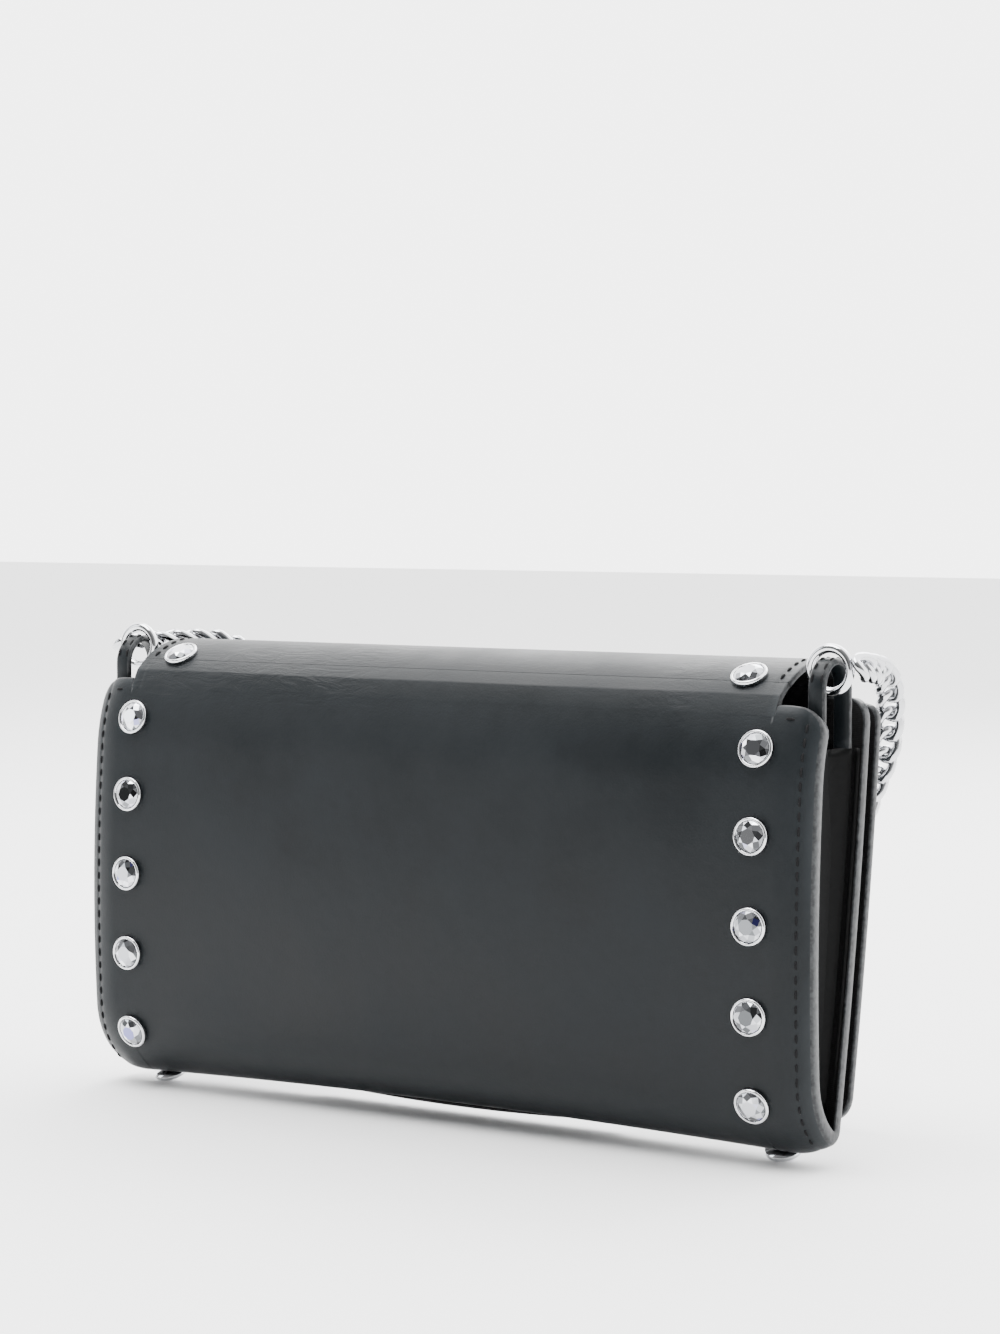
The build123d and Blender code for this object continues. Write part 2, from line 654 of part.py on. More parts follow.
for side, route in (("right", CHAIN_RIGHT_ROUTE), ("left", CHAIN_LEFT_ROUTE)):
    points = [Vector(x, REAR_Y - depth, height) for x, depth, height in route]
    radii = corner_radii(points)
    print(f"chain_{side} radii:", [round(radius, 1) for radius in radii])
    with BuildPart() as chain:
        with BuildLine() as path:
            FilletPolyline(*points, radius=radii)
        with BuildSketch(Plane(origin=path.line @ 0, z_dir=path.line % 0)):
            Circle(CHAIN_D / 2)
        sweep(path=path.line)
    length = sum(edge.length for edge in path.edges())
    ratio = chain.part.volume / (math.pi * CHAIN_D ** 2 / 4 * length)
    print(f"chain_{side} length {length:.1f}, volume over section times length {ratio:.4f}")
    finish(chain, f"chain_{side}")

with BuildPart() as chain_hank:
    with BuildSketch():
        with Locations((HANK_X, REAR_Y - HANK_DEPTH)):
            RectangleRounded(2 * HANK_HALF, 2 * HANK_HALF_DEPTH, HANK_ROUND)
    extrude(amount=HANK_HEIGHT)
finish(chain_hank, "chain_hank")

with BuildPart() as chain_tie:
    with BuildSketch(Plane.YZ.offset(HANK_X)):
        with Locations((REAR_Y - HANK_DEPTH, (HANK_HEIGHT + TIE_THICK) / 2)):
            Rectangle(2 * (HANK_HALF_DEPTH + TIE_THICK), HANK_HEIGHT + TIE_THICK)
        with Locations((REAR_Y - HANK_DEPTH, HANK_HEIGHT / 2)):
            Rectangle(2 * HANK_HALF_DEPTH, HANK_HEIGHT, mode=Mode.SUBTRACT)
    extrude(amount=TIE_HALF, both=True)
finish(chain_tie, "chain_tie")
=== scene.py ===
"""Chain wallet: leather skins, crystal studs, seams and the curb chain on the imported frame."""

import math
import random

import bmesh
import bpy
import numpy as np
from mathutils import Matrix, Vector
from mathutils.geometry import convex_hull_2d


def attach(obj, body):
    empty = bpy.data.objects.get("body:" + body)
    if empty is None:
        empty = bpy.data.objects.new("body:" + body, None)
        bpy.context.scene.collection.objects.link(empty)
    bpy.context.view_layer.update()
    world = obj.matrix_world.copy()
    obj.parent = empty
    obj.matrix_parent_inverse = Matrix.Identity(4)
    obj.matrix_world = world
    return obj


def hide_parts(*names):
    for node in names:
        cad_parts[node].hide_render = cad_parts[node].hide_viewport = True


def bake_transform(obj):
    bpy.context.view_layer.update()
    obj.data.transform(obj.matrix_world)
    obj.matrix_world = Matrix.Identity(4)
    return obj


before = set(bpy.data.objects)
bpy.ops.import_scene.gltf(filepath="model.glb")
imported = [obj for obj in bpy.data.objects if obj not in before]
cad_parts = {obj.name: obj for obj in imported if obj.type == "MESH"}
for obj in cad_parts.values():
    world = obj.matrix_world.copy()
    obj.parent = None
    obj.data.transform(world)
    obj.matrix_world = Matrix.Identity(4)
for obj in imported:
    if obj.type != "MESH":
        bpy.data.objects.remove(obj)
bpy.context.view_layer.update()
random.seed(7)
MM = 0.001

# ---- camera --------------------------------------------------------------------------
camera = bpy.data.objects.new("camera", bpy.data.cameras.new("camera"))
bpy.context.collection.objects.link(camera)
camera.data.lens = 86.3
camera.data.sensor_width = 36
camera.data.clip_start = 0.02
camera.location = (-0.4017, 0.59235, 0.1417)
LOOK = Vector((0.5505, -0.8330, -0.0560))
camera.rotation_euler = LOOK.to_track_quat("-Z", "Y").to_euler()
bpy.context.scene.camera = camera

# ---- shape of the wallet, in millimetres, as in the CAD model ----------------------------
REAR_Y = 17.15
HALF = 96.4
STRIP_HALF = 86.5
HINGE = (REAR_Y - 7.5, 98.9)
WALL_ARCS = [(41.0, -26.45), (420.0, -8.46), (20.9, -51.4), (6.0, -114.0), (900.0, -5.85)]
FLAP_ARCS = [(26.1, 40.8), (10.3, 36.2), (10.3, 60.8), (900.0, 6.0)]
WALL_THICK = 3.0
STRIP_THICK = 1.5
LEAF_THICK = 2.2
STUD_X = 83.25
TOP_STUD_X = 76.4
STUD_HEIGHTS = (87.8, 69.9, 51.3, 32.5, 13.8)
SNAP_HEIGHT = 26.0
GUSSET_LOW, GUSSET_TOP = 12.0, 87.0
LOOP_X, LOOP_DEPTH = 93.0, 16.5
LOOP_CENTRE, LOOP_RADIUS = 99.9, 5.75
BAR_HEIGHT, BAR_PITCH, BAR_STONES = 6.8, 9.0, 9


class Profile:
    """An outline in the side view, made of tangent arcs; side is 1 where outwards is on its left."""

    def __init__(self, start, heading, arcs, side):
        self.side, self.parts, self.length = side, [], 0.0
        y, z, angle = start[0], start[1], math.radians(heading)
        for radius, turn in arcs:
            sign = 1 if turn > 0 else -1
            self.parts.append((self.length, y, z, angle, radius, sign))
            y -= sign * radius * math.sin(angle)
            z += sign * radius * math.cos(angle)
            angle += math.radians(turn)
            y += sign * radius * math.sin(angle)
            z -= sign * radius * math.cos(angle)
            self.length += radius * abs(math.radians(turn))

    def at(self, t):
        """The place and the outward direction at a length along it."""
        start, y, z, angle, radius, sign = [p for p in self.parts if p[0] <= max(t, 0)][-1]
        along = angle + sign * (t - start) / radius
        y += sign * radius * (math.sin(along) - math.sin(angle))
        z -= sign * radius * (math.cos(along) - math.cos(angle))
        return y, z, -math.sin(along) * self.side, math.cos(along) * self.side

    def reach(self, height, low, high):
        """The length at which a height is reached between two lengths."""
        rising = self.at(high)[1] > self.at(low)[1]
        for _ in range(40):
            middle = (low + high) / 2
            if (self.at(middle)[1] < height) == rising:
                low = middle
            else:
                high = middle
        return (low + high) / 2


wall = Profile(HINGE, -58.5, WALL_ARCS, 1)
flap = Profile(HINGE, 138.0, FLAP_ARCS, -1)
BACK_END = wall.parts[3][0]
FRONT_START = wall.parts[4][0]
FOLD_AT = flap.parts[2][0]
LEAF_START = flap.parts[3][0]
BACK_JOIN = wall.reach(94.5, 0, 60)


def roll(x):
    """How far the side of a panel curves in towards the gusset."""
    return 3.0 * max(0.0, (abs(x) - 87.5) / 8.9) ** 2


def arch(x, z):
    """How far the bottom fold is lifted in its middle."""
    return 2.2 * (1 - (x / HALF) ** 2) * max(0.0, 1 - z / 24) ** 2


def place(line, t, x, depth=0.0, arched=False):
    """A point at a depth under a profile's surface, in metres, and the outward direction."""
    y, z, out_y, out_z = line.at(t)
    point = Vector((x, y - out_y * depth, z - out_z * depth))
    if arched:
        point.z += arch(x, z)
    return point * MM, Vector((0, out_y, out_z))


# ---- materials ------------------------------------------------------------------------
def new_material(name, **sockets):
    """A material with its Principled shader's sockets set, and that shader."""
    material = bpy.data.materials.new(name)
    material.use_nodes = True
    shader = material.node_tree.nodes["Principled BSDF"]
    for key, value in sockets.items():
        shader.inputs[key.replace("_", " ")].default_value = value
    return material, shader


def node(material, kind, **values):
    """A node of a material; values are its settings, or its sockets where it has such a one."""
    made = material.node_tree.nodes.new(kind)
    for key, value in values.items():
        socket = key.replace("_", " ")
        if socket in made.inputs:
            made.inputs[socket].default_value = value
        else:
            setattr(made, key, value)
    return made


def link(material, a, b):
    """Join an output to an input of a material's nodes."""
    material.node_tree.links.new(a, b)


def coordinates(material, stretch=(1, 1, 1)):
    """The place on the object, stretched."""
    source = node(material, "ShaderNodeTexCoord")
    mapping = node(material, "ShaderNodeMapping", Scale=stretch)
    link(material, source.outputs["Object"], mapping.inputs["Vector"])
    return mapping.outputs["Vector"]


def ramp(material, value, stops):
    """A value turned into a colour by stops of (place, colour)."""
    made = node(material, "ShaderNodeValToRGB")
    for number, (at, colour) in enumerate(stops):
        if number > 1:
            made.color_ramp.elements.new(at)
        made.color_ramp.elements[number].position = at
        made.color_ramp.elements[number].color = (*colour, 1)
    link(material, value, made.inputs["Fac"])
    return made.outputs["Color"]


def between(material, value, low, high, new_low, new_high):
    """A value carried from one range to another."""
    made = node(material, "ShaderNodeMapRange")
    for number, limit in enumerate((low, high, new_low, new_high)):
        made.inputs[number + 1].default_value = limit
    link(material, value, made.inputs["Value"])
    return made.outputs["Result"]


def bump(material, height, distance, strength=1.0, under=None):
    """A bump of a real height in metres, over another one."""
    made = node(material, "ShaderNodeBump", Distance=distance, Strength=strength)
    link(material, height, made.inputs["Height"])
    if under is not None:
        link(material, under, made.inputs["Normal"])
    return made.outputs["Normal"]


def leather(name, dark, light, worn, rough=0.42, wrinkled=True):
    """Smooth dyed leather: pores, soft creases, uneven dye and worn edges."""
    material, shader = new_material(name, Specular_IOR_Level=0.19)
    here = coordinates(material)
    blotch = node(material, "ShaderNodeTexNoise", Scale=38.0, Detail=5.0, Roughness=0.6)
    pores = node(material, "ShaderNodeTexVoronoi", Scale=1250.0, feature="DISTANCE_TO_EDGE")
    fine = node(material, "ShaderNodeTexNoise", Scale=2600.0, Detail=3.0)
    for texture in (blotch, pores, fine):
        link(material, here, texture.inputs["Vector"])
    dye = ramp(material, blotch.outputs["Fac"], [(0.34, dark), (0.72, light)])
    wear = node(material, "ShaderNodeAttribute", attribute_name="wear")
    rub = node(material, "ShaderNodeMath", operation="MULTIPLY")
    link(material, wear.outputs["Fac"], rub.inputs[0])
    link(material, between(material, blotch.outputs["Fac"], 0.35, 0.7, 0.15, 0.75), rub.inputs[1])
    mix = node(material, "ShaderNodeMix", data_type="RGBA")
    link(material, rub.outputs["Value"], mix.inputs["Factor"])
    link(material, dye, mix.inputs["A"])
    mix.inputs["B"].default_value = (*worn, 1)
    link(material, mix.outputs["Result"], shader.inputs["Base Color"])
    matt = between(material, blotch.outputs["Fac"], 0.3, 0.75, rough - 0.05, rough + 0.12)
    link(material, matt, shader.inputs["Roughness"])
    normal = bump(material, pores.outputs["Distance"], 0.00006, 0.35)
    normal = bump(material, fine.outputs["Fac"], 0.00003, 0.35, normal)
    normal = bump(material, blotch.outputs["Fac"], 0.0006, 0.35, normal)
    if wrinkled:
        crease = node(material, "ShaderNodeTexNoise", Scale=1.0, Detail=5.0, Roughness=0.62, Distortion=1.2)
        link(material, coordinates(material, (110, 330, 330)), crease.inputs["Vector"])
        patch = node(material, "ShaderNodeTexNoise", Scale=26.0, Detail=1.0)
        link(material, here, patch.inputs["Vector"])
        height = node(material, "ShaderNodeSeparateXYZ")
        link(material, coordinates(material), height.inputs["Vector"])
        mask = node(material, "ShaderNodeMath", operation="MULTIPLY")
        link(material, crease.outputs["Fac"], mask.inputs[0])
        near_fold = between(material, height.outputs["Z"], 0.086, 0.098, 0.0, 1.0)
        strong = node(material, "ShaderNodeMath", operation="MULTIPLY")
        link(material, near_fold, strong.inputs[0])
        link(material, between(material, patch.outputs["Fac"], 0.45, 0.7, 0.12, 1.0), strong.inputs[1])
        link(material, strong.outputs["Value"], mask.inputs[1])
        normal = bump(material, mask.outputs["Value"], 0.0005, 0.6, normal)
    link(material, normal, shader.inputs["Normal"])
    return material


def metal(name, colour, rough, scratch=0.05):
    """Polished metal with faint smears and fine scratches."""
    material, shader = new_material(name, Metallic=1.0)
    shader.inputs["Base Color"].default_value = (*colour, 1)
    smear = node(material, "ShaderNodeTexNoise", Scale=160.0, Detail=4.0)
    link(material, coordinates(material), smear.inputs["Vector"])
    gloss = between(material, smear.outputs["Fac"], 0.35, 0.7, rough, rough + scratch)
    link(material, gloss, shader.inputs["Roughness"])
    line = node(material, "ShaderNodeTexNoise", Scale=1.0, Detail=2.0)
    link(material, coordinates(material, (300, 2600, 2600)), line.inputs["Vector"])
    link(material, bump(material, line.outputs["Fac"], 0.00001, 0.25), shader.inputs["Normal"])
    return material


def cloth(name, colour, thread):
    """A plain weave of threads of a real width in metres, darker in the gaps between threads as painted
    shade.
    """
    material, shader = new_material(name, Roughness=0.9, Specular_IOR_Level=0.15)
    waves = []
    for direction in ("X", "Z"):
        wave = node(material, "ShaderNodeTexWave", bands_direction=direction, Scale=0.32 / thread)
        link(material, coordinates(material), wave.inputs["Vector"])
        waves.append(wave.outputs["Fac"])
    weave = node(material, "ShaderNodeMath", operation="MULTIPLY")
    for wave, socket in zip(waves, weave.inputs):
        link(material, wave, socket)
    # Painted shade: the colour darkens where the weave is low, in the gaps between threads.
    gap_shade = tuple(c * 0.55 for c in colour)
    tone = ramp(material, weave.outputs["Value"], [(0.0, gap_shade), (0.6, colour)])
    link(material, tone, shader.inputs["Base Color"])
    link(material, bump(material, weave.outputs["Value"], 0.0001, 0.6), shader.inputs["Normal"])
    return material


def speckled(name, dark, light, scale, rough):
    """An uneven matt surface, such as edge paint or board."""
    material, shader = new_material(name, Roughness=rough, Specular_IOR_Level=0.2)
    noise = node(material, "ShaderNodeTexNoise", Scale=scale, Detail=5.0)
    link(material, coordinates(material), noise.inputs["Vector"])
    tone = ramp(material, noise.outputs["Fac"], [(0.3, dark), (0.7, light)])
    link(material, tone, shader.inputs["Base Color"])
    link(material, bump(material, noise.outputs["Fac"], 0.00015, 0.4), shader.inputs["Normal"])
    return material


black = leather("black_leather", (0.0034, 0.0050, 0.0062), (0.0064, 0.0086, 0.0104), (0.024, 0.028, 0.031))
# The gussets' leather is darker than the panels' leather: painted shade of the recess between the two
# panels.
gusset_black_painted_shade = leather(
    "gusset_leather", (0.0016, 0.0018, 0.002), (0.0032, 0.0035, 0.0038), (0.009, 0.009, 0.009), 0.5, False
)
inner_black = leather(
    "inner_leather", (0.008, 0.0077, 0.0075), (0.014, 0.0135, 0.013), (0.03, 0.028, 0.027), 0.5, False
)
edge_paint = speckled("edge_paint", (0.009, 0.010, 0.011), (0.04, 0.042, 0.044), 900.0, 0.38)
lining = cloth("lining", (0.010, 0.0098, 0.0105), 0.0004)
zip_cloth = cloth("zip_tape", (0.008, 0.008, 0.0085), 0.0005)
thread = speckled("thread", (0.0015, 0.0015, 0.0018), (0.005, 0.0052, 0.006), 2400.0, 0.8)
chrome = metal("bright_metal", (0.66, 0.665, 0.68), 0.06)
silver = metal("chain_metal", (0.55, 0.555, 0.57), 0.1)
steel = metal("zip_metal", (0.66, 0.66, 0.67), 0.22, 0.12)
# The stones' base colour is painted light: each of their facets gets a random tone, from dark painted shade
# to a bright painted glint, and a few get a violet painted glint of colour fire.
crystal, cut = new_material("crystal", Metallic=1.0, Roughness=0.03, Coat_Weight=1.0, Coat_Roughness=0.0)
painted_facet_light = node(crystal, "ShaderNodeAttribute", attribute_name="painted_facet_light")
link(
    crystal,
    ramp(crystal, painted_facet_light.outputs["Fac"], [
        (0.0, (0.012, 0.013, 0.016)), (0.22, (0.06, 0.065, 0.07)), (0.45, (0.30, 0.31, 0.33)),
        (0.72, (0.46, 0.47, 0.50)), (0.94, (0.78, 0.79, 0.82)), (0.97, (0.06, 0.06, 0.30)),
    ]),
    cut.inputs["Base Color"],
)

for name, material in {
    "slip_pocket_leaf": inner_black, "card_leaf_1": inner_black, "card_leaf_2": inner_black,
    "card_leaf_3": inner_black, "zip_pocket": inner_black, "zip_tape_rear": zip_cloth,
    "zip_tape_front": zip_cloth, "zip_teeth_rear": steel, "zip_teeth_front": steel,
    "zip_stops": steel, "zip_slider": steel, "zip_pull": steel, "snap_socket": steel,
    "snap_socket_washer": steel, "snap_stud": steel, "snap_stud_washer": steel,
    "bar_plate": chrome, "bar_pins": chrome, "chain_ring_left": chrome, "chain_ring_right": chrome,
}.items():
    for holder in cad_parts[name].material_slots:
        holder.material = material


# ---- mesh helpers ------------------------------------------------------------------------
def make(name, points, faces, materials, body, faces_in=None, smooth=True):
    """A mesh piece with all its faces turned outwards, riding on a body."""
    mesh = bpy.data.meshes.new(name)
    mesh.from_pydata([tuple(p) for p in points], [], faces)
    for material in materials:
        mesh.materials.append(material)
    if faces_in is not None:
        mesh.polygons.foreach_set("material_index", faces_in)
    mesh.polygons.foreach_set("use_smooth", [smooth] * len(mesh.polygons))
    work = bmesh.new()
    work.from_mesh(mesh)
    bmesh.ops.recalc_face_normals(work, faces=work.faces)
    work.to_mesh(mesh)
    work.free()
    obj = bpy.data.objects.new(name, mesh)
    bpy.context.collection.objects.link(obj)
    if body:
        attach(obj, body)
    return obj


def across(half, roomy, side_step):
    """Places across a panel, close together near its two sides."""
    side = list(np.arange(84.0 if half > 90 else half - 6, half, side_step)) + [half]
    middle = list(np.arange(0, side[0] - roomy / 2, roomy))
    right = middle + side
    return [-x for x in reversed(right[1:])] + right


def panel(
    name, line, half, span, steps, thick, body, materials,
    sink=None, arched=False, rim=0.5, joined=(0, 0),
):
    """A leather panel on a profile with a rounded, painted rim.

    span gives the two lengths along the profile between which it lies, for each place across.
    joined says how far across each end goes on as the next panel, where it has no rim.
    """
    xs = across(half, 4.0, 0.45)
    spans = [span(x) for x in xs]
    sink = sink or (lambda x, t: 0.0)

    def spot(i, j, inset, depth):
        x = xs[j] * (half - inset) / half
        low, high = spans[j]
        low += 0 if abs(xs[j]) < joined[0] else inset
        high -= 0 if abs(xs[j]) < joined[1] else inset
        t = low + (high - low) * i / steps
        return place(line, t, x, depth + sink(x, t), arched)[0]

    points, faces, kinds, wear = [], [], [], []
    grids = []
    for depth in (0.0, thick):
        grid = []
        for i in range(steps + 1):
            row = []
            for j in range(len(xs)):
                row.append(len(points))
                points.append(spot(i, j, rim, depth))
                low, high = spans[j]
                to_low = 9.0 if abs(xs[j]) < joined[0] else (high - low) * i / steps
                to_high = 9.0 if abs(xs[j]) < joined[1] else (high - low) * (steps - i) / steps
                wear.append(math.exp(-min(half - abs(xs[j]), to_low, to_high) / 1.1))
            grid.append(row)
        grids.append(grid)
        for i in range(steps):
            for j in range(len(xs) - 1):
                faces.append((grid[i][j], grid[i][j + 1], grid[i + 1][j + 1], grid[i + 1][j]))
                kinds.append(0 if depth == 0 else 2)

    last = len(xs) - 1
    border = [(0, j) for j in range(last)] + [(i, last) for i in range(steps)]
    border += [(steps, j) for j in range(last, 0, -1)] + [(i, 0) for i in range(steps, 0, -1)]
    loops = [[grids[0][i][j] for i, j in border]]
    layers = [(rim * 0.29, rim * 0.29), (0.0, rim), (0.0, thick - rim), (rim * 0.29, thick - rim * 0.29)]
    for inset, depth in layers:
        loop = []
        for i, j in border:
            loop.append(len(points))
            points.append(spot(i, j, inset, depth))
            wear.append(1.0)
        loops.append(loop)
    loops.append([grids[1][i][j] for i, j in border])
    for one, other in zip(loops, loops[1:]):
        for k in range(len(border)):
            n = (k + 1) % len(border)
            faces.append((one[k], one[n], other[n], other[k]))
            kinds.append(1)
    obj = make(name, points, faces, materials, None, kinds)
    ends = [{grids[side][i][j] for side in (0, 1) for j in range(len(xs)) if abs(xs[j]) < reach}
            for i, reach in ((0, joined[0]), (steps, joined[1]))]
    for edge in obj.data.edges:
        a, b = edge.vertices
        if any(a in end and b in end for end in ends):
            edge.use_edge_sharp = True
    attribute = obj.data.attributes.new("wear", "FLOAT", "POINT")
    attribute.data.foreach_set("value", wear)
    if body:
        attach(obj, body)
    return obj


def rounded(x, half, corner):
    """How far a rounded corner cuts in at a place across the panel."""
    over = abs(x) - (half - corner)
    return corner - math.sqrt(max(corner**2 - max(over, 0) ** 2, 0.0))


def groove(x, at, depth=0.16, width=0.5):
    """The press of a seam into the leather."""
    return depth * math.exp(-(((abs(x) - at) / width) ** 2))


SEAM_X = 93.3
SEAM_IN = 3.2
BACK_SHOULDER = wall.reach(97.1, 0, 40)
FRONT_SHOULDER = wall.reach(97.1, FRONT_START, wall.length)
FRONT_MIDDLE = wall.reach(90.0, FRONT_START, wall.length)


def body_span(x):
    """From the back's top edge, down and round the bottom fold, and up to the front's top edge."""
    if abs(x) < 86.7:
        low = BACK_JOIN
    else:
        low = BACK_SHOULDER + rounded(x, HALF, 5.0)
    if abs(x) < 84.8:
        return low, FRONT_MIDDLE
    return low, FRONT_SHOULDER - rounded(x, HALF, 5.0)


def soft(x, t):
    """Slight unevenness of a hand-made panel."""
    return 0.12 * math.sin(0.045 * x + 0.03 * t) * math.sin(0.05 * t + 0.9)


def body_sink(x, t):
    calm = max(0.0, 1 - (abs(x) / 80) ** 6) * min(1.0, max(0.0, (t - BACK_JOIN) / 14))
    return roll(x) + groove(x, SEAM_X) + max(soft(x, t), 0) * calm


body_skin = panel(
    "body_skin", wall, HALF, body_span, 110, WALL_THICK, "wallet_body", [black, edge_paint, lining],
    body_sink, arched=True, joined=(86.6, 0),
)


def bored(obj, point, out, radius, near, far):
    """Cut a round seat into a panel between two depths, in metres."""
    cutter_mesh = bpy.data.meshes.new("cutter")
    work = bmesh.new()
    turn = out.to_track_quat("Z", "Y").to_matrix().to_4x4()
    middle = Matrix.Translation(point - out * (near + far) / 2)
    bmesh.ops.create_cone(
        work, cap_ends=True, segments=64, radius1=radius, radius2=radius, depth=far - near,
        matrix=middle @ turn,
    )
    work.to_mesh(cutter_mesh)
    work.free()
    cutter = bpy.data.objects.new("cutter", cutter_mesh)
    bpy.context.collection.objects.link(cutter)
    cut = obj.modifiers.new("bore", "BOOLEAN")
    cut.object, cut.operation, cut.solver = cutter, "DIFFERENCE", "EXACT"
    whole = bpy.data.meshes.new_from_object(obj.evaluated_get(bpy.context.evaluated_depsgraph_get()))
    obj.modifiers.clear()
    obj.data = whole
    bpy.data.objects.remove(cutter)


socket_spot = place(wall, wall.reach(SNAP_HEIGHT, FRONT_START, wall.length), 0)
bored(body_skin, socket_spot[0], socket_spot[1], 0.0071, -0.001, 0.0016)
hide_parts("body_leather", "rear_board", "front_board", "body_lining")


# ---- top strip and flap -----------------------------------------------------------------
STRIP_FROM, STRIP_TO = 4.0, FOLD_AT - 4.0
LEAF_FROM = FOLD_AT + 5.0
STRIP_SEAM_X = 84.0
STRIP_RIM = 0.35


class TopFold:
    """The back's surface and the strip's surface as one line over the hinge."""

    def at(self, t):
        if t >= 0:
            return flap.at(t)
        return wall.at(-t)


def strip_sink(x, t):
    return groove(x, STRIP_SEAM_X, 0.12)


def fold(name, line, low, high, steps):
    """The leather over a hinge; its two ends lie a hair under the panels they run into."""

    def sink(x, t):
        over = max(0.0, 1 - min(t - low, high - t) / 1.5)
        return strip_sink(x, t) + 0.05 * over

    return panel(
        name, line, STRIP_HALF - 0.2, lambda x: (low, high), steps, STRIP_THICK, None,
        [black, edge_paint, lining], sink, rim=STRIP_RIM, joined=(HALF, HALF),
    )


top_fold = fold("top_fold", TopFold(), -BACK_JOIN - 1.2, STRIP_FROM + 0.4, 36)
place(wall, 2.2, 0)[0]
place(flap, 2.4, 0)[0]
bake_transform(top_fold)
strip_skin = panel(
    "strip_skin", flap, STRIP_HALF, lambda x: (STRIP_FROM, STRIP_TO), 24, STRIP_THICK, "flap_strip",
    [black, edge_paint, lining], strip_sink, rim=STRIP_RIM, joined=(HALF, HALF),
)
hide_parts("strip_leather", "strip_lining")
front_fold = fold("front_fold", flap, STRIP_TO - 0.4, LEAF_FROM + 0.4, 24)
place(flap, STRIP_TO + 1.0, 0)[0]
place(flap, LEAF_FROM - 1.0, 0)[0]
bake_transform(front_fold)
LEAF_SHOULDER = flap.reach(96.0, FOLD_AT + 2, flap.length)


def leaf_span(x):
    """From the front fold or the shoulder beside it down to the curved lower edge."""
    low = LEAF_FROM if abs(x) < 86.3 else LEAF_SHOULDER + rounded(x, HALF, 4.0)
    edge = 1.3 + 7.7 * (x / HALF) ** 2
    return low, flap.reach(edge, LEAF_START, flap.length + 2) - rounded(x, HALF, 4.0)


def leaf_sink(x, t):
    return roll(x) * 0.35 + groove(x, SEAM_X)


leaf_skin = panel(
    "leaf_skin", flap, HALF, leaf_span, 70, LEAF_THICK, "flap_leaf", [black, edge_paint, lining],
    leaf_sink, joined=(86.2, 0),
)
stud_spot = place(flap, flap.reach(SNAP_HEIGHT, LEAF_START, flap.length), 0)
bored(leaf_skin, stud_spot[0], stud_spot[1], 0.0071, 0.0018, 0.004)
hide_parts("leaf_leather", "leaf_board", "leaf_lining")


# ---- gussets -------------------------------------------------------------------------------
def gusset(side, sign):
    """A leaf of leather folded inwards between the two panels, with its sewn flanges."""
    steps = 40
    rows = [GUSSET_LOW + (GUSSET_TOP - GUSSET_LOW) * k / steps for k in range(steps + 1)]
    outline = []
    for z in rows:
        share = (z - GUSSET_LOW) / (GUSSET_TOP - GUSSET_LOW)
        fold_x = 90.2 - 5.7 * share**0.8
        back, front = (
            place(wall, wall.reach(z, *limits), 0, WALL_THICK + 0.12)[0] / MM
            for limits in ((0, BACK_END), (FRONT_START, wall.length))
        )
        row = [Vector((95.5, back.y - roll(95.5), z)), Vector((93.9, back.y - roll(93.9), z))]
        for k in range(13):
            u = k / 12
            x = 92.4 - (92.4 - fold_x) * (1 - abs(2 * u - 1) ** 1.5)
            near = roll(x)
            y = (back.y - near) * (1 - u) + (front.y + near) * u
            dip = 1.6 * (1 - abs(2 * u - 1)) * share**3
            row.append(Vector((x, y, z - dip)))
        row += [Vector((93.9, front.y + roll(93.9), z)), Vector((95.5, front.y + roll(95.5), z))]
        outline.append(row)
    points, faces, grids = [], [], []
    wide = len(outline[0])
    for inner in (0, 1):
        grid = []
        for row in outline:
            line = []
            for k, p in enumerate(row):
                before, after = row[max(k - 1, 0)], row[min(k + 1, wide - 1)]
                along = (after - before).normalized()
                inward = Vector((-abs(along.y), along.x * (1 if along.y < 0 else -1), 0)) * 0.9 * inner
                q = p + inward
                line.append(len(points))
                points.append(Vector((sign * q.x, q.y, q.z)) * MM)
            grid.append(line)
        grids.append(grid)
        for i in range(len(rows) - 1):
            for k in range(wide - 1):
                faces.append((grid[i][k], grid[i][k + 1], grid[i + 1][k + 1], grid[i + 1][k]))
    last = wide - 1
    border = [(0, k) for k in range(last)] + [(i, last) for i in range(steps)]
    border += [(steps, k) for k in range(last, 0, -1)] + [(i, 0) for i in range(steps, 0, -1)]
    for n, (i, k) in enumerate(border):
        i2, k2 = border[(n + 1) % len(border)]
        faces.append((grids[0][i][k], grids[0][i2][k2], grids[1][i2][k2], grids[1][i][k]))
    obj = make(f"gusset_skin_{side}", points, faces, [gusset_black_painted_shade], "wallet_body")
    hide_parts(f"gusset_{side}")


gusset("left", 1)
gusset("right", -1)


# ---- seams -----------------------------------------------------------------------------------
STITCH_PITCH, STITCH_LENGTH, STITCH_RADIUS = 0.0031, 0.0023, 0.0003


def capsule(points, faces, middle, along, out, length, radius):
    """One stitch: a short rounded thread that dips into the leather at both ends."""
    side = along.cross(out).normalized()
    first, rings, around = len(points), 7, 6
    for ring in range(rings):
        share = ring / (rings - 1) * 2 - 1
        wide = radius * math.sqrt(max(1 - abs(share) ** 3, 0.06))
        centre = middle + along * share * length / 2 - out * radius * 1.3 * abs(share) ** 3
        for k in range(around):
            a = 2 * math.pi * k / around
            points.append(centre + side * wide * math.cos(a) + out * wide * math.sin(a))
    for ring in range(rings - 1):
        for k in range(around):
            n = (k + 1) % around
            a, b = first + ring * around, first + (ring + 1) * around
            faces.append((a + k, a + n, b + n, b + k))
    faces.append(tuple(first + k for k in reversed(range(around))))
    faces.append(tuple(first + (rings - 1) * around + k for k in range(around)))


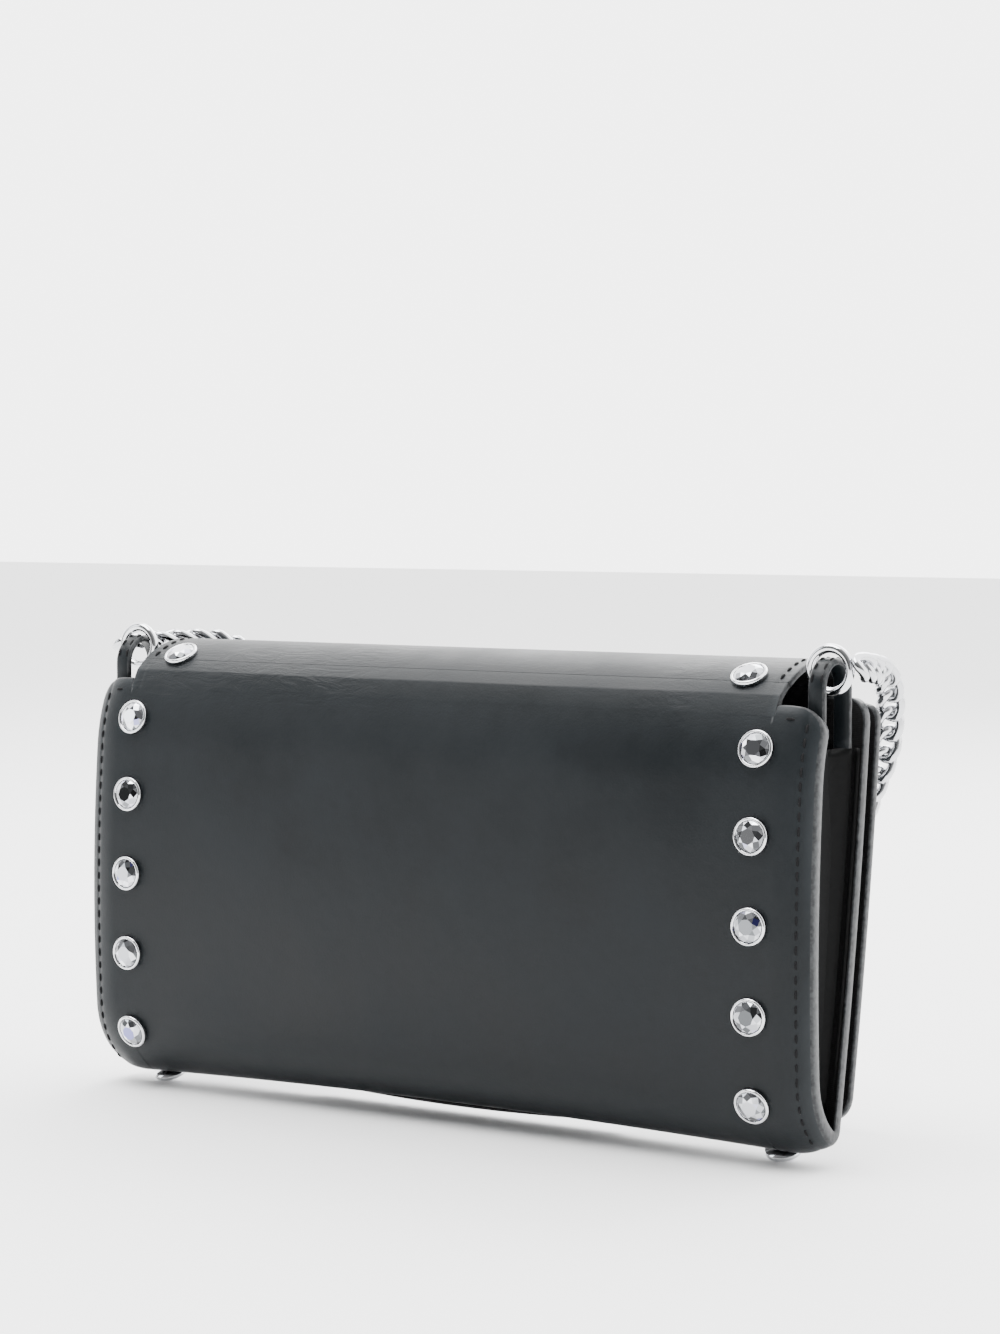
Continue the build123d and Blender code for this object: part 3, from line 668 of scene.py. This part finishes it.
def seam(name, runs, body):
    """A row of stitches along each run of (place, outward direction)."""
    points, faces = [], []
    for run in runs:
        lengths = [0.0]
        for (a, _), (b, _) in zip(run, run[1:]):
            lengths.append(lengths[-1] + (b - a).length)
        count = max(1, round(lengths[-1] / STITCH_PITCH))
        for k in range(count):
            t = (k + 0.5) / count * lengths[-1]
            n = max(1, int(np.searchsorted(lengths, t)))
            share = (t - lengths[n - 1]) / (lengths[n] - lengths[n - 1])
            (a, out_a), (b, out_b) = run[n - 1], run[n]
            out = out_a.lerp(out_b, share).normalized()
            along = (b - a).normalized()
            jitter = 1 + random.uniform(-0.06, 0.06)
            capsule(points, faces, a.lerp(b, share), along, out, STITCH_LENGTH * jitter, STITCH_RADIUS)
    return make(name, points, faces, [thread], body)


def side_run(line, x, low, high, sink, arched=False):
    """Places down a panel at one distance across."""
    steps = max(2, int((high - low) / 1.5))
    return [
        place(line, t, x, sink(x, t) - 0.12, arched) for t in np.linspace(low, high, steps)
    ]


def level_run(line, t, x_from, x_to, sink, arched=False):
    """Places across a panel at one height."""
    return [place(line, t, x, sink(x, t) - 0.12, arched) for x in np.linspace(x_from, x_to, 12)]


body_runs = []
for sign in (1, -1):
    low, high = BACK_SHOULDER + SEAM_IN, BACK_END - 1.0
    body_runs.append(side_run(wall, sign * SEAM_X, low, high, body_sink, True))
    body_runs.append(level_run(wall, low, sign * 91.8, sign * 87.6, body_sink))
    low, high = FRONT_START + 1, FRONT_SHOULDER - SEAM_IN
    body_runs.append(side_run(wall, sign * SEAM_X, low, high, body_sink, True))
seam("body_stitches", body_runs, "wallet_body")
strip_runs = [
    side_run(flap, s * STRIP_SEAM_X, STRIP_FROM + 0.5, STRIP_TO - 0.5, lambda x, t: 0.06) for s in (1, -1)
]
seam("strip_stitches", strip_runs, "flap_strip")
leaf_runs = [
    side_run(flap, s * SEAM_X, LEAF_SHOULDER + 3, leaf_span(SEAM_X)[1] - SEAM_IN, leaf_sink)
    for s in (1, -1)
]
leaf_runs.append([
    place(flap, leaf_span(x)[1] - 3.0, x, leaf_sink(x, 0) - 0.12) for x in np.linspace(-91.5, 91.5, 80)
])
seam("leaf_stitches", leaf_runs, "flap_leaf")


# ---- crystal studs -----------------------------------------------------------------------------
def ring_of(points, axes, radius, height, count, turn=0.0):
    """A ring of places round a stud's axis."""
    origin, out, across_it, up = axes
    first = len(points)
    for k in range(count):
        a = 2 * math.pi * (k + turn) / count
        spoke = across_it * math.cos(a) + up * math.sin(a)
        points.append(origin + spoke * radius * MM + out * height * MM)
    return [first + k for k in range(count)]


CUP = [
    (4.05, -0.12), (4.05, 0.72), (3.98, 0.96), (3.82, 1.10), (3.62, 1.15), (3.44, 1.08), (3.34, 0.9),
    (3.30, 0.2), (2.2, 0.06), (1.2, 0.03),
]


def stud_cup(points, faces, at):
    """A spun metal setting with a rounded lip."""
    around = 40
    rings = [ring_of(points, at, r, h, around) for r, h in CUP]
    for one, other in zip(rings, rings[1:]):
        for k in range(around):
            n = (k + 1) % around
            faces.append((one[k], one[n], other[n], other[k]))
    faces.append(tuple(reversed(rings[0])))
    faces.append(tuple(rings[-1]))


def stone(points, faces, at, scale=1.0, tall=1.0):
    """A cut stone: table, star, kite and girdle facets above, and a shallow pavilion below."""
    turn = random.random()
    table = ring_of(points, at, 1.72 * scale, 1.9 * tall, 8, turn)
    stars = ring_of(points, at, 2.62 * scale, 1.5 * tall, 8, turn + 0.5)
    girdle = ring_of(points, at, 3.28 * scale, 1.0 * tall, 16, 2 * turn)
    belt = ring_of(points, at, 3.28 * scale, 0.86 * tall, 16, 2 * turn)
    low = ring_of(points, at, 1.9 * scale, 0.42 * tall, 8, turn + 0.5)
    tip = len(points)
    points.append(at[0] + at[1] * 0.14 * tall * MM)
    faces.append(tuple(table))
    for k in range(8):
        n, g = (k + 1) % 8, 2 * k
        faces.append((table[k], stars[k], table[n]))
        faces.append((table[k], stars[k - 1], girdle[g], stars[k]))
        faces.append((stars[k], girdle[g], girdle[g + 1]))
        faces.append((stars[k], girdle[g + 1], girdle[(g + 2) % 16]))
        faces.append((belt[g], belt[g + 1], low[k]))
        faces.append((belt[g + 1], belt[(g + 2) % 16], low[k]))
        faces.append((belt[(g + 2) % 16], low[n], low[k]))
        faces.append((low[k], low[n], tip))
    for k in range(16):
        n = (k + 1) % 16
        faces.append((girdle[k], belt[k], belt[n], girdle[n]))


def paint_facet_light(stones):
    """Paint each of a stone's facets at random with its own tone: painted glints and painted shade that
    stand in for the light a foil-backed stone throws back.
    """
    values = [random.random() ** 0.8 for _ in stones.data.polygons]
    stones.data.attributes.new("painted_facet_light", "FLOAT", "FACE").data.foreach_set("value", values)


def studs(name, spots, body, cups_node, stones_node):
    """One group of set stones."""
    cup_points, cup_faces, points, faces = [], [], [], []
    for origin, out in spots:
        tilt = Vector((1, 0, 0)) * random.uniform(-0.03, 0.03)
        out = (out + tilt).normalized()
        across_it = out.cross(Vector((0, out.z, -out.y))).normalized()
        at = (origin, out, across_it, out.cross(across_it).normalized())
        stud_cup(cup_points, cup_faces, at)
        stone(points, faces, at)
    cups = make(f"{name}_cups", cup_points, cup_faces, [chrome], body)
    stones = make(f"{name}_stones", points, faces, [crystal], body, smooth=False)
    paint_facet_light(stones)
    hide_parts(cups_node)
    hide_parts(stones_node)


for side, sign in (("left", 1), ("right", -1)):
    rear = [place(wall, wall.reach(h, 0, BACK_END), sign * STUD_X, 0.0, True) for h in STUD_HEIGHTS]
    front = [place(flap, flap.reach(h, LEAF_START, flap.length), sign * STUD_X) for h in STUD_HEIGHTS]
    studs(f"rear_{side}", rear, "wallet_body", f"rear_{side}_stud_cups", f"rear_{side}_stud_crystals")
    studs(f"front_{side}", front, "flap_leaf", f"front_{side}_stud_cups", f"front_{side}_stud_crystals")
top_spots = [place(flap, 0.30 * flap.parts[1][0], s * TOP_STUD_X) for s in (1, -1)]
studs("top", top_spots, "flap_strip", "top_stud_cups", "top_stud_crystals")
foot_at = BACK_END + (FRONT_START - BACK_END) * 58 / 114
foot_spots = [place(wall, foot_at, s * STUD_X) for s in (1, -1)]
studs("foot", foot_spots, "wallet_body", "foot_stud_cups", "foot_stud_crystals")

# Stones of the bar ornament
bar_origin, bar_out = place(flap, flap.reach(BAR_HEIGHT, LEAF_START, flap.length + 1), 0)
bar_across = Vector((1, 0, 0))
bar_up = bar_out.cross(bar_across).normalized()
bar_points, bar_faces = [], []
for k in range(BAR_STONES):
    seat = bar_origin + bar_across * (k - (BAR_STONES - 1) / 2) * BAR_PITCH * MM + bar_out * 0.42 * MM
    stone(bar_points, bar_faces, (seat, bar_out, bar_across, bar_up), 0.78, 0.95)
bar_stones = make(
    "bar_stone_set", bar_points, bar_faces, [crystal], "flap_leaf", smooth=False
)
paint_facet_light(bar_stones)
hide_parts("bar_stones")


# ---- leather loops ---------------------------------------------------------------------------------
def strap_loop(side, sign):
    """A folded strap that stands up from the gusset and holds the ring."""
    middle_y, centre, radius = REAR_Y - LOOP_DEPTH, LOOP_CENTRE, LOOP_RADIUS
    foot = GUSSET_TOP + 0.2
    path = [Vector((middle_y + radius, z)) for z in np.linspace(foot, centre, 7)[:-1]]
    path += [
        Vector((middle_y + radius * math.cos(a), centre + radius * math.sin(a)))
        for a in np.linspace(0, math.pi, 17)
    ]
    path += [Vector((middle_y - radius, z)) for z in np.linspace(centre, foot, 7)[1:]]
    side_corners = [(2.0, -0.3), (1.9, 0.45), (1.5, 0.74)]
    corner = side_corners + [(-x, lift) for x, lift in reversed(side_corners)]
    corner += [(-1.75, -0.66), (1.75, -0.66)]
    points, faces, kinds = [], [], []
    for k, p in enumerate(path):
        along = (path[min(k + 1, len(path) - 1)] - path[max(k - 1, 0)]).normalized()
        out = Vector((along.y, -along.x))
        for x, lift in corner:
            q = p + out * lift
            points.append(Vector((sign * LOOP_X + x, q.x, q.y)) * MM)
    around = len(corner)
    for k in range(len(path) - 1):
        for n in range(around):
            m = (n + 1) % around
            faces.append((k * around + n, k * around + m, (k + 1) * around + m, (k + 1) * around + n))
            kinds.append(0 if n in (2, 6) else 1)
    faces.append(tuple(range(around)))
    faces.append(tuple((len(path) - 1) * around + n for n in range(around)))
    kinds += [1, 1]
    obj = make(
        f"loop_strap_{side}", points, faces, [black, edge_paint], "wallet_body", kinds,
    )
    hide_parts(f"leather_loop_{side}")
    run = []
    for s in (1, -1):
        for a in np.linspace(0.15, math.pi - 0.15, 12):
            out = Vector((0, math.cos(a), math.sin(a)))
            heart = Vector((sign * LOOP_X + 1.15 * s, middle_y, centre))
            run.append(((heart + out * (radius + 0.78)) * MM, out))
    seam(f"loop_stitches_{side}", [run[:12], run[12:]], "wallet_body")


strap_loop("left", 1)
strap_loop("right", -1)

# ---- chain -----------------------------------------------------------------------------------------
CHAIN_RIGHT = [
    (-99.8, 17.7, 104.6), (-98.9, 25.2, 104.0), (-97.6, 32.6, 102.5), (-95.8, 38.6, 98.1),
    (-94.0, 42.2, 91.8), (-92.0, 44.2, 84.0), (-86.8, 44.8, 73.6), (-80.6, 44.8, 55.0),
    (-75.6, 46.4, 30.0), (-71.5, 49.5, 11.8), (-67.5, 57.0, 4.2), (-64.5, 67.5, 3.4),
    (-57.5, 77.5, 3.4),
]
CHAIN_LEFT = [
    (100.1, 18.2, 104.0), (97.0, 26.0, 105.2), (90.5, 36.0, 105.6), (86.4, 41.6, 104.4),
    (82.8, 46.5, 100.9), (80.2, 50.1, 95.5), (78.8, 52.0, 88.9), (78.2, 52.2, 76.0),
    (78.6, 50.8, 61.0), (79.2, 49.2, 44.0), (80.0, 47.2, 26.5), (80.4, 50.5, 10.5),
    (81.5, 60.0, 3.8), (80.2, 69.5, 3.4), (75.5, 77.0, 6.5), (68.0, 81.5, 12.0),
]
CHAIN_D = 6.6
HANK_FROM, HANK_TO = -28.8, 40.8
HANK_NEAR, HANK_BEND = 82.0, 13.9
HANK_OUT = HANK_BEND * 1.08  # how far out the control points of a turn lie
HANK_LAYERS = 3
CHAIN_REST = 3.35


def hank_route():
    """Turns of the put-away chain: along the near side, round, back along the far side, and up a layer."""
    route, mid = [], HANK_NEAR + HANK_BEND
    for layer in range(HANK_LAYERS):
        z = CHAIN_REST + CHAIN_D * layer
        route += [(x, HANK_NEAR, z) for x in np.linspace(HANK_FROM, HANK_TO, 4)]
        if layer == HANK_LAYERS - 1:
            break
        for a in np.radians([-54, -18, 18, 54]):
            route.append((HANK_TO + HANK_OUT * math.cos(a), mid + HANK_OUT * math.sin(a), z))
        route += [(x, HANK_NEAR + 2 * HANK_BEND, z) for x in np.linspace(HANK_TO, HANK_FROM, 4)]
        for a in np.radians([54, 18, -18, -54]):
            rise = CHAIN_D * (54 - math.degrees(a)) / 108 * 0.8 + 0.1 * CHAIN_D
            route.append((HANK_FROM - HANK_OUT * math.cos(a), mid + HANK_OUT * math.sin(a), z + rise))
    return route


def to_frame(route):
    return [Vector((x, REAR_Y - depth, z)) * MM for x, depth, z in route]


right_part, hank_part = to_frame(CHAIN_RIGHT), to_frame(hank_route())
left_part = list(reversed(to_frame(CHAIN_LEFT)))
chain_curve = bpy.data.curves.new("chain_line", "CURVE")
chain_curve.dimensions = "3D"
chain_curve.resolution_u = 12
spline = chain_curve.splines.new("NURBS")
control = right_part + hank_part + left_part
spline.points.add(len(control) - 1)
for knot, p in zip(spline.points, control):
    knot.co = (*p, 1)
spline.order_u = 3
spline.use_endpoint_u = True
carrier = bpy.data.objects.new("chain_line", chain_curve)
flat_line = bpy.data.meshes.new_from_object(carrier)
line = np.array([v.co for v in flat_line.vertices])
bpy.data.objects.remove(carrier)
bpy.data.curves.remove(chain_curve)
bpy.data.meshes.remove(flat_line)
steps = np.linalg.norm(np.diff(line, axis=0), axis=1)
lengths = np.concatenate([[0], np.cumsum(steps)])
CHAIN_LENGTH = float(lengths[-1])


def on_line(s):
    return Vector([float(np.interp(s, lengths, line[:, k])) for k in range(3)])


BACK_LEFT = Vector((-0.55, 0.83, 0.10))
UP = Vector((0, 0, 1))
shares = np.linspace(0, 1, len(lengths))
right_end = float(np.interp(len(right_part) / len(control), shares, lengths))
left_start = float(np.interp(1 - len(left_part) / len(control), shares, lengths))


def facing(s, point, along):
    """Which way the flat of the chain faces: outwards on the wallet, and up where it lies down."""
    lying = min(1.0, max(0.0, 1.6 - point.z / 0.018))
    if s < right_end:
        wish = BACK_LEFT.lerp(UP, lying)
    elif s > left_start:
        wish = Vector((1, 0, 0)).cross(along).lerp(UP, lying)
    else:
        wish = UP
    return (wish - along * wish.dot(along)).normalized()


LINK_A, LINK_B, WIRE, PITCH, TWIST = 3.55, 2.28, 1.02, 4.9, math.radians(42)


def chain_links():
    """A curb chain: every link twisted, so that the links lie flat in one row."""
    points, faces = [], []
    count = int(CHAIN_LENGTH / (PITCH * MM))
    around, section = 22, 9
    for number in range(count + 1):
        s = min(max(0.0012 + number * PITCH * MM, 0.0004), CHAIN_LENGTH - 0.0004)
        middle = on_line(s)
        along = (on_line(min(s + 0.002, CHAIN_LENGTH)) - on_line(max(s - 0.002, 0))).normalized()
        face = facing(s, middle, along)
        side = face.cross(along)
        centres = []
        for k in range(around):
            a = 2 * math.pi * k / around
            u = LINK_A * math.copysign(abs(math.cos(a)) ** 0.85, math.cos(a))
            v = LINK_B * math.copysign(abs(math.sin(a)) ** 0.8, math.sin(a))
            turn = TWIST * u / LINK_A
            centres.append(middle + (along * u + side * v * math.cos(turn) + face * v * math.sin(turn)) * MM)
        first = len(points)
        for k in range(around):
            way = (centres[(k + 1) % around] - centres[k - 1]).normalized()
            out = (centres[k] - middle).normalized()
            out = (out - way * out.dot(way)).normalized()
            third = way.cross(out)
            for n in range(section):
                b = 2 * math.pi * n / section
                points.append(centres[k] + (out * math.cos(b) + third * math.sin(b)) * WIRE * MM)
        for k in range(around):
            j = (k + 1) % around
            for n in range(section):
                m = (n + 1) % section
                faces.append((first + k * section + n, first + k * section + m,
                              first + j * section + m, first + j * section + n))
    return points, faces


link_points, link_faces = chain_links()
chain = make("chain_strap", link_points, link_faces, [silver], "wallet_body")
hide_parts("chain_left", "chain_right", "chain_hank")


TIE_X = (HANK_FROM + HANK_TO) / 2


def tie():
    """A flat cord tied once round the bundle."""
    spots = []
    reach = 3.1
    for depth, above in ((HANK_NEAR, HANK_LAYERS - 1), (HANK_NEAR + 2 * HANK_BEND, HANK_LAYERS - 2)):
        for z in (CHAIN_REST, CHAIN_REST + above * CHAIN_D):
            for a in np.linspace(0, 2 * math.pi, 24, endpoint=False):
                spots.append(Vector((REAR_Y - depth + reach * math.cos(a), z + reach * math.sin(a))))
    hull = [spots[k] for k in convex_hull_2d(spots)]
    closed = hull + hull[:1]
    even = []
    for a, b in zip(closed, closed[1:]):
        parts = max(1, int((b - a).length / 1.5))
        even += [a.lerp(b, k / parts) for k in range(parts)]
    count = len(even)
    centre = sum(even, Vector((0, 0))) / count
    points, faces = [], []
    shape = [(-3.9, 0.0), (-3.7, 0.45), (0, 0.62), (3.7, 0.45), (3.9, 0.0), (3.6, -0.1), (-3.6, -0.1)]
    for k, p in enumerate(even):
        way = (even[(k + 1) % count] - even[k - 1]).normalized()
        out = Vector((way.y, -way.x))
        if out.dot(p - centre) < 0:
            out = -out
        for x, lift in shape:
            q = p + out * lift
            points.append(Vector((TIE_X + x, q.x, max(q.y, 0.02))) * MM)
    n = len(shape)
    for k in range(count):
        j = (k + 1) % count
        for m in range(n):
            o = (m + 1) % n
            faces.append((k * n + m, k * n + o, j * n + o, j * n + m))
    return make("bundle_tie", points, faces, [thread], "wallet_body")


bundle_tie = tie()
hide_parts("chain_tie")
print("chain length", round(CHAIN_LENGTH, 4))

# ---- floor and light -----------------------------------------------------------------------------
floor_mesh = bpy.data.meshes.new("floor")
floor_mesh.from_pydata([(-4, -4, 0), (4, -4, 0), (4, 4, 0), (-4, 4, 0)], [], [(0, 1, 2, 3)])
floor = bpy.data.objects.new("floor", floor_mesh)
bpy.context.collection.objects.link(floor)
floor_paint, floor_shader = new_material("floor", Roughness=0.75)
floor_shader.inputs["Base Color"].default_value = (0.92, 0.92, 0.92, 1)
floor_mesh.materials.append(floor_paint)


def studio():
    """A bright backdrop behind the wallet that falls off to a dark room on the side of its back."""
    world = bpy.data.worlds.new("world")
    world.use_nodes = True
    nodes, links = world.node_tree.nodes, world.node_tree.links
    way = nodes.new("ShaderNodeTexCoord")
    parts = nodes.new("ShaderNodeSeparateXYZ")
    links.new(way.outputs["Generated"], parts.inputs["Vector"])
    turned = nodes.new("ShaderNodeMapRange")
    turned.inputs["From Min"].default_value = -1
    links.new(parts.outputs["Y"], turned.inputs["Value"])
    shade = nodes.new("ShaderNodeValToRGB")
    for number, (at, value) in enumerate([(0.0, 1.0), (0.48, 1.0), (0.62, 0.14), (1.0, 0.03)]):
        if number > 1:
            shade.color_ramp.elements.new(at)
        shade.color_ramp.elements[number].position = at
        shade.color_ramp.elements[number].color = (value, value, value, 1)
    links.new(turned.outputs["Result"], shade.inputs["Fac"])
    links.new(shade.outputs["Color"], nodes["Background"].inputs["Color"])
    nodes["Background"].inputs["Strength"].default_value = 5.0
    return world


bpy.context.scene.world = studio()


def softbox(name, place_at, aim, size, power, colour=(1, 1, 1)):
    """A large soft lamp aimed at a place."""
    light = bpy.data.lights.new(name, "AREA")
    light.shape, light.size, light.size_y = "RECTANGLE", size[0], size[1]
    light.energy, light.color = power, colour
    holder = bpy.data.objects.new(name, light)
    bpy.context.collection.objects.link(holder)
    holder.location = place_at
    holder.rotation_euler = (Vector(aim) - Vector(place_at)).to_track_quat("-Z", "Y").to_euler()


softbox("key", (0.25, 0.35, 1.2), (0, 0, 0.05), (0.9, 0.7), 26.0)
softbox("fill", (0.9, 0.7, 0.5), (0, 0, 0.06), (0.4, 0.6), 3.0, (0.93, 0.97, 1.0))
softbox("back", (0.1, -0.8, 0.8), (0, 0, 0.06), (1.0, 0.6), 14.0)
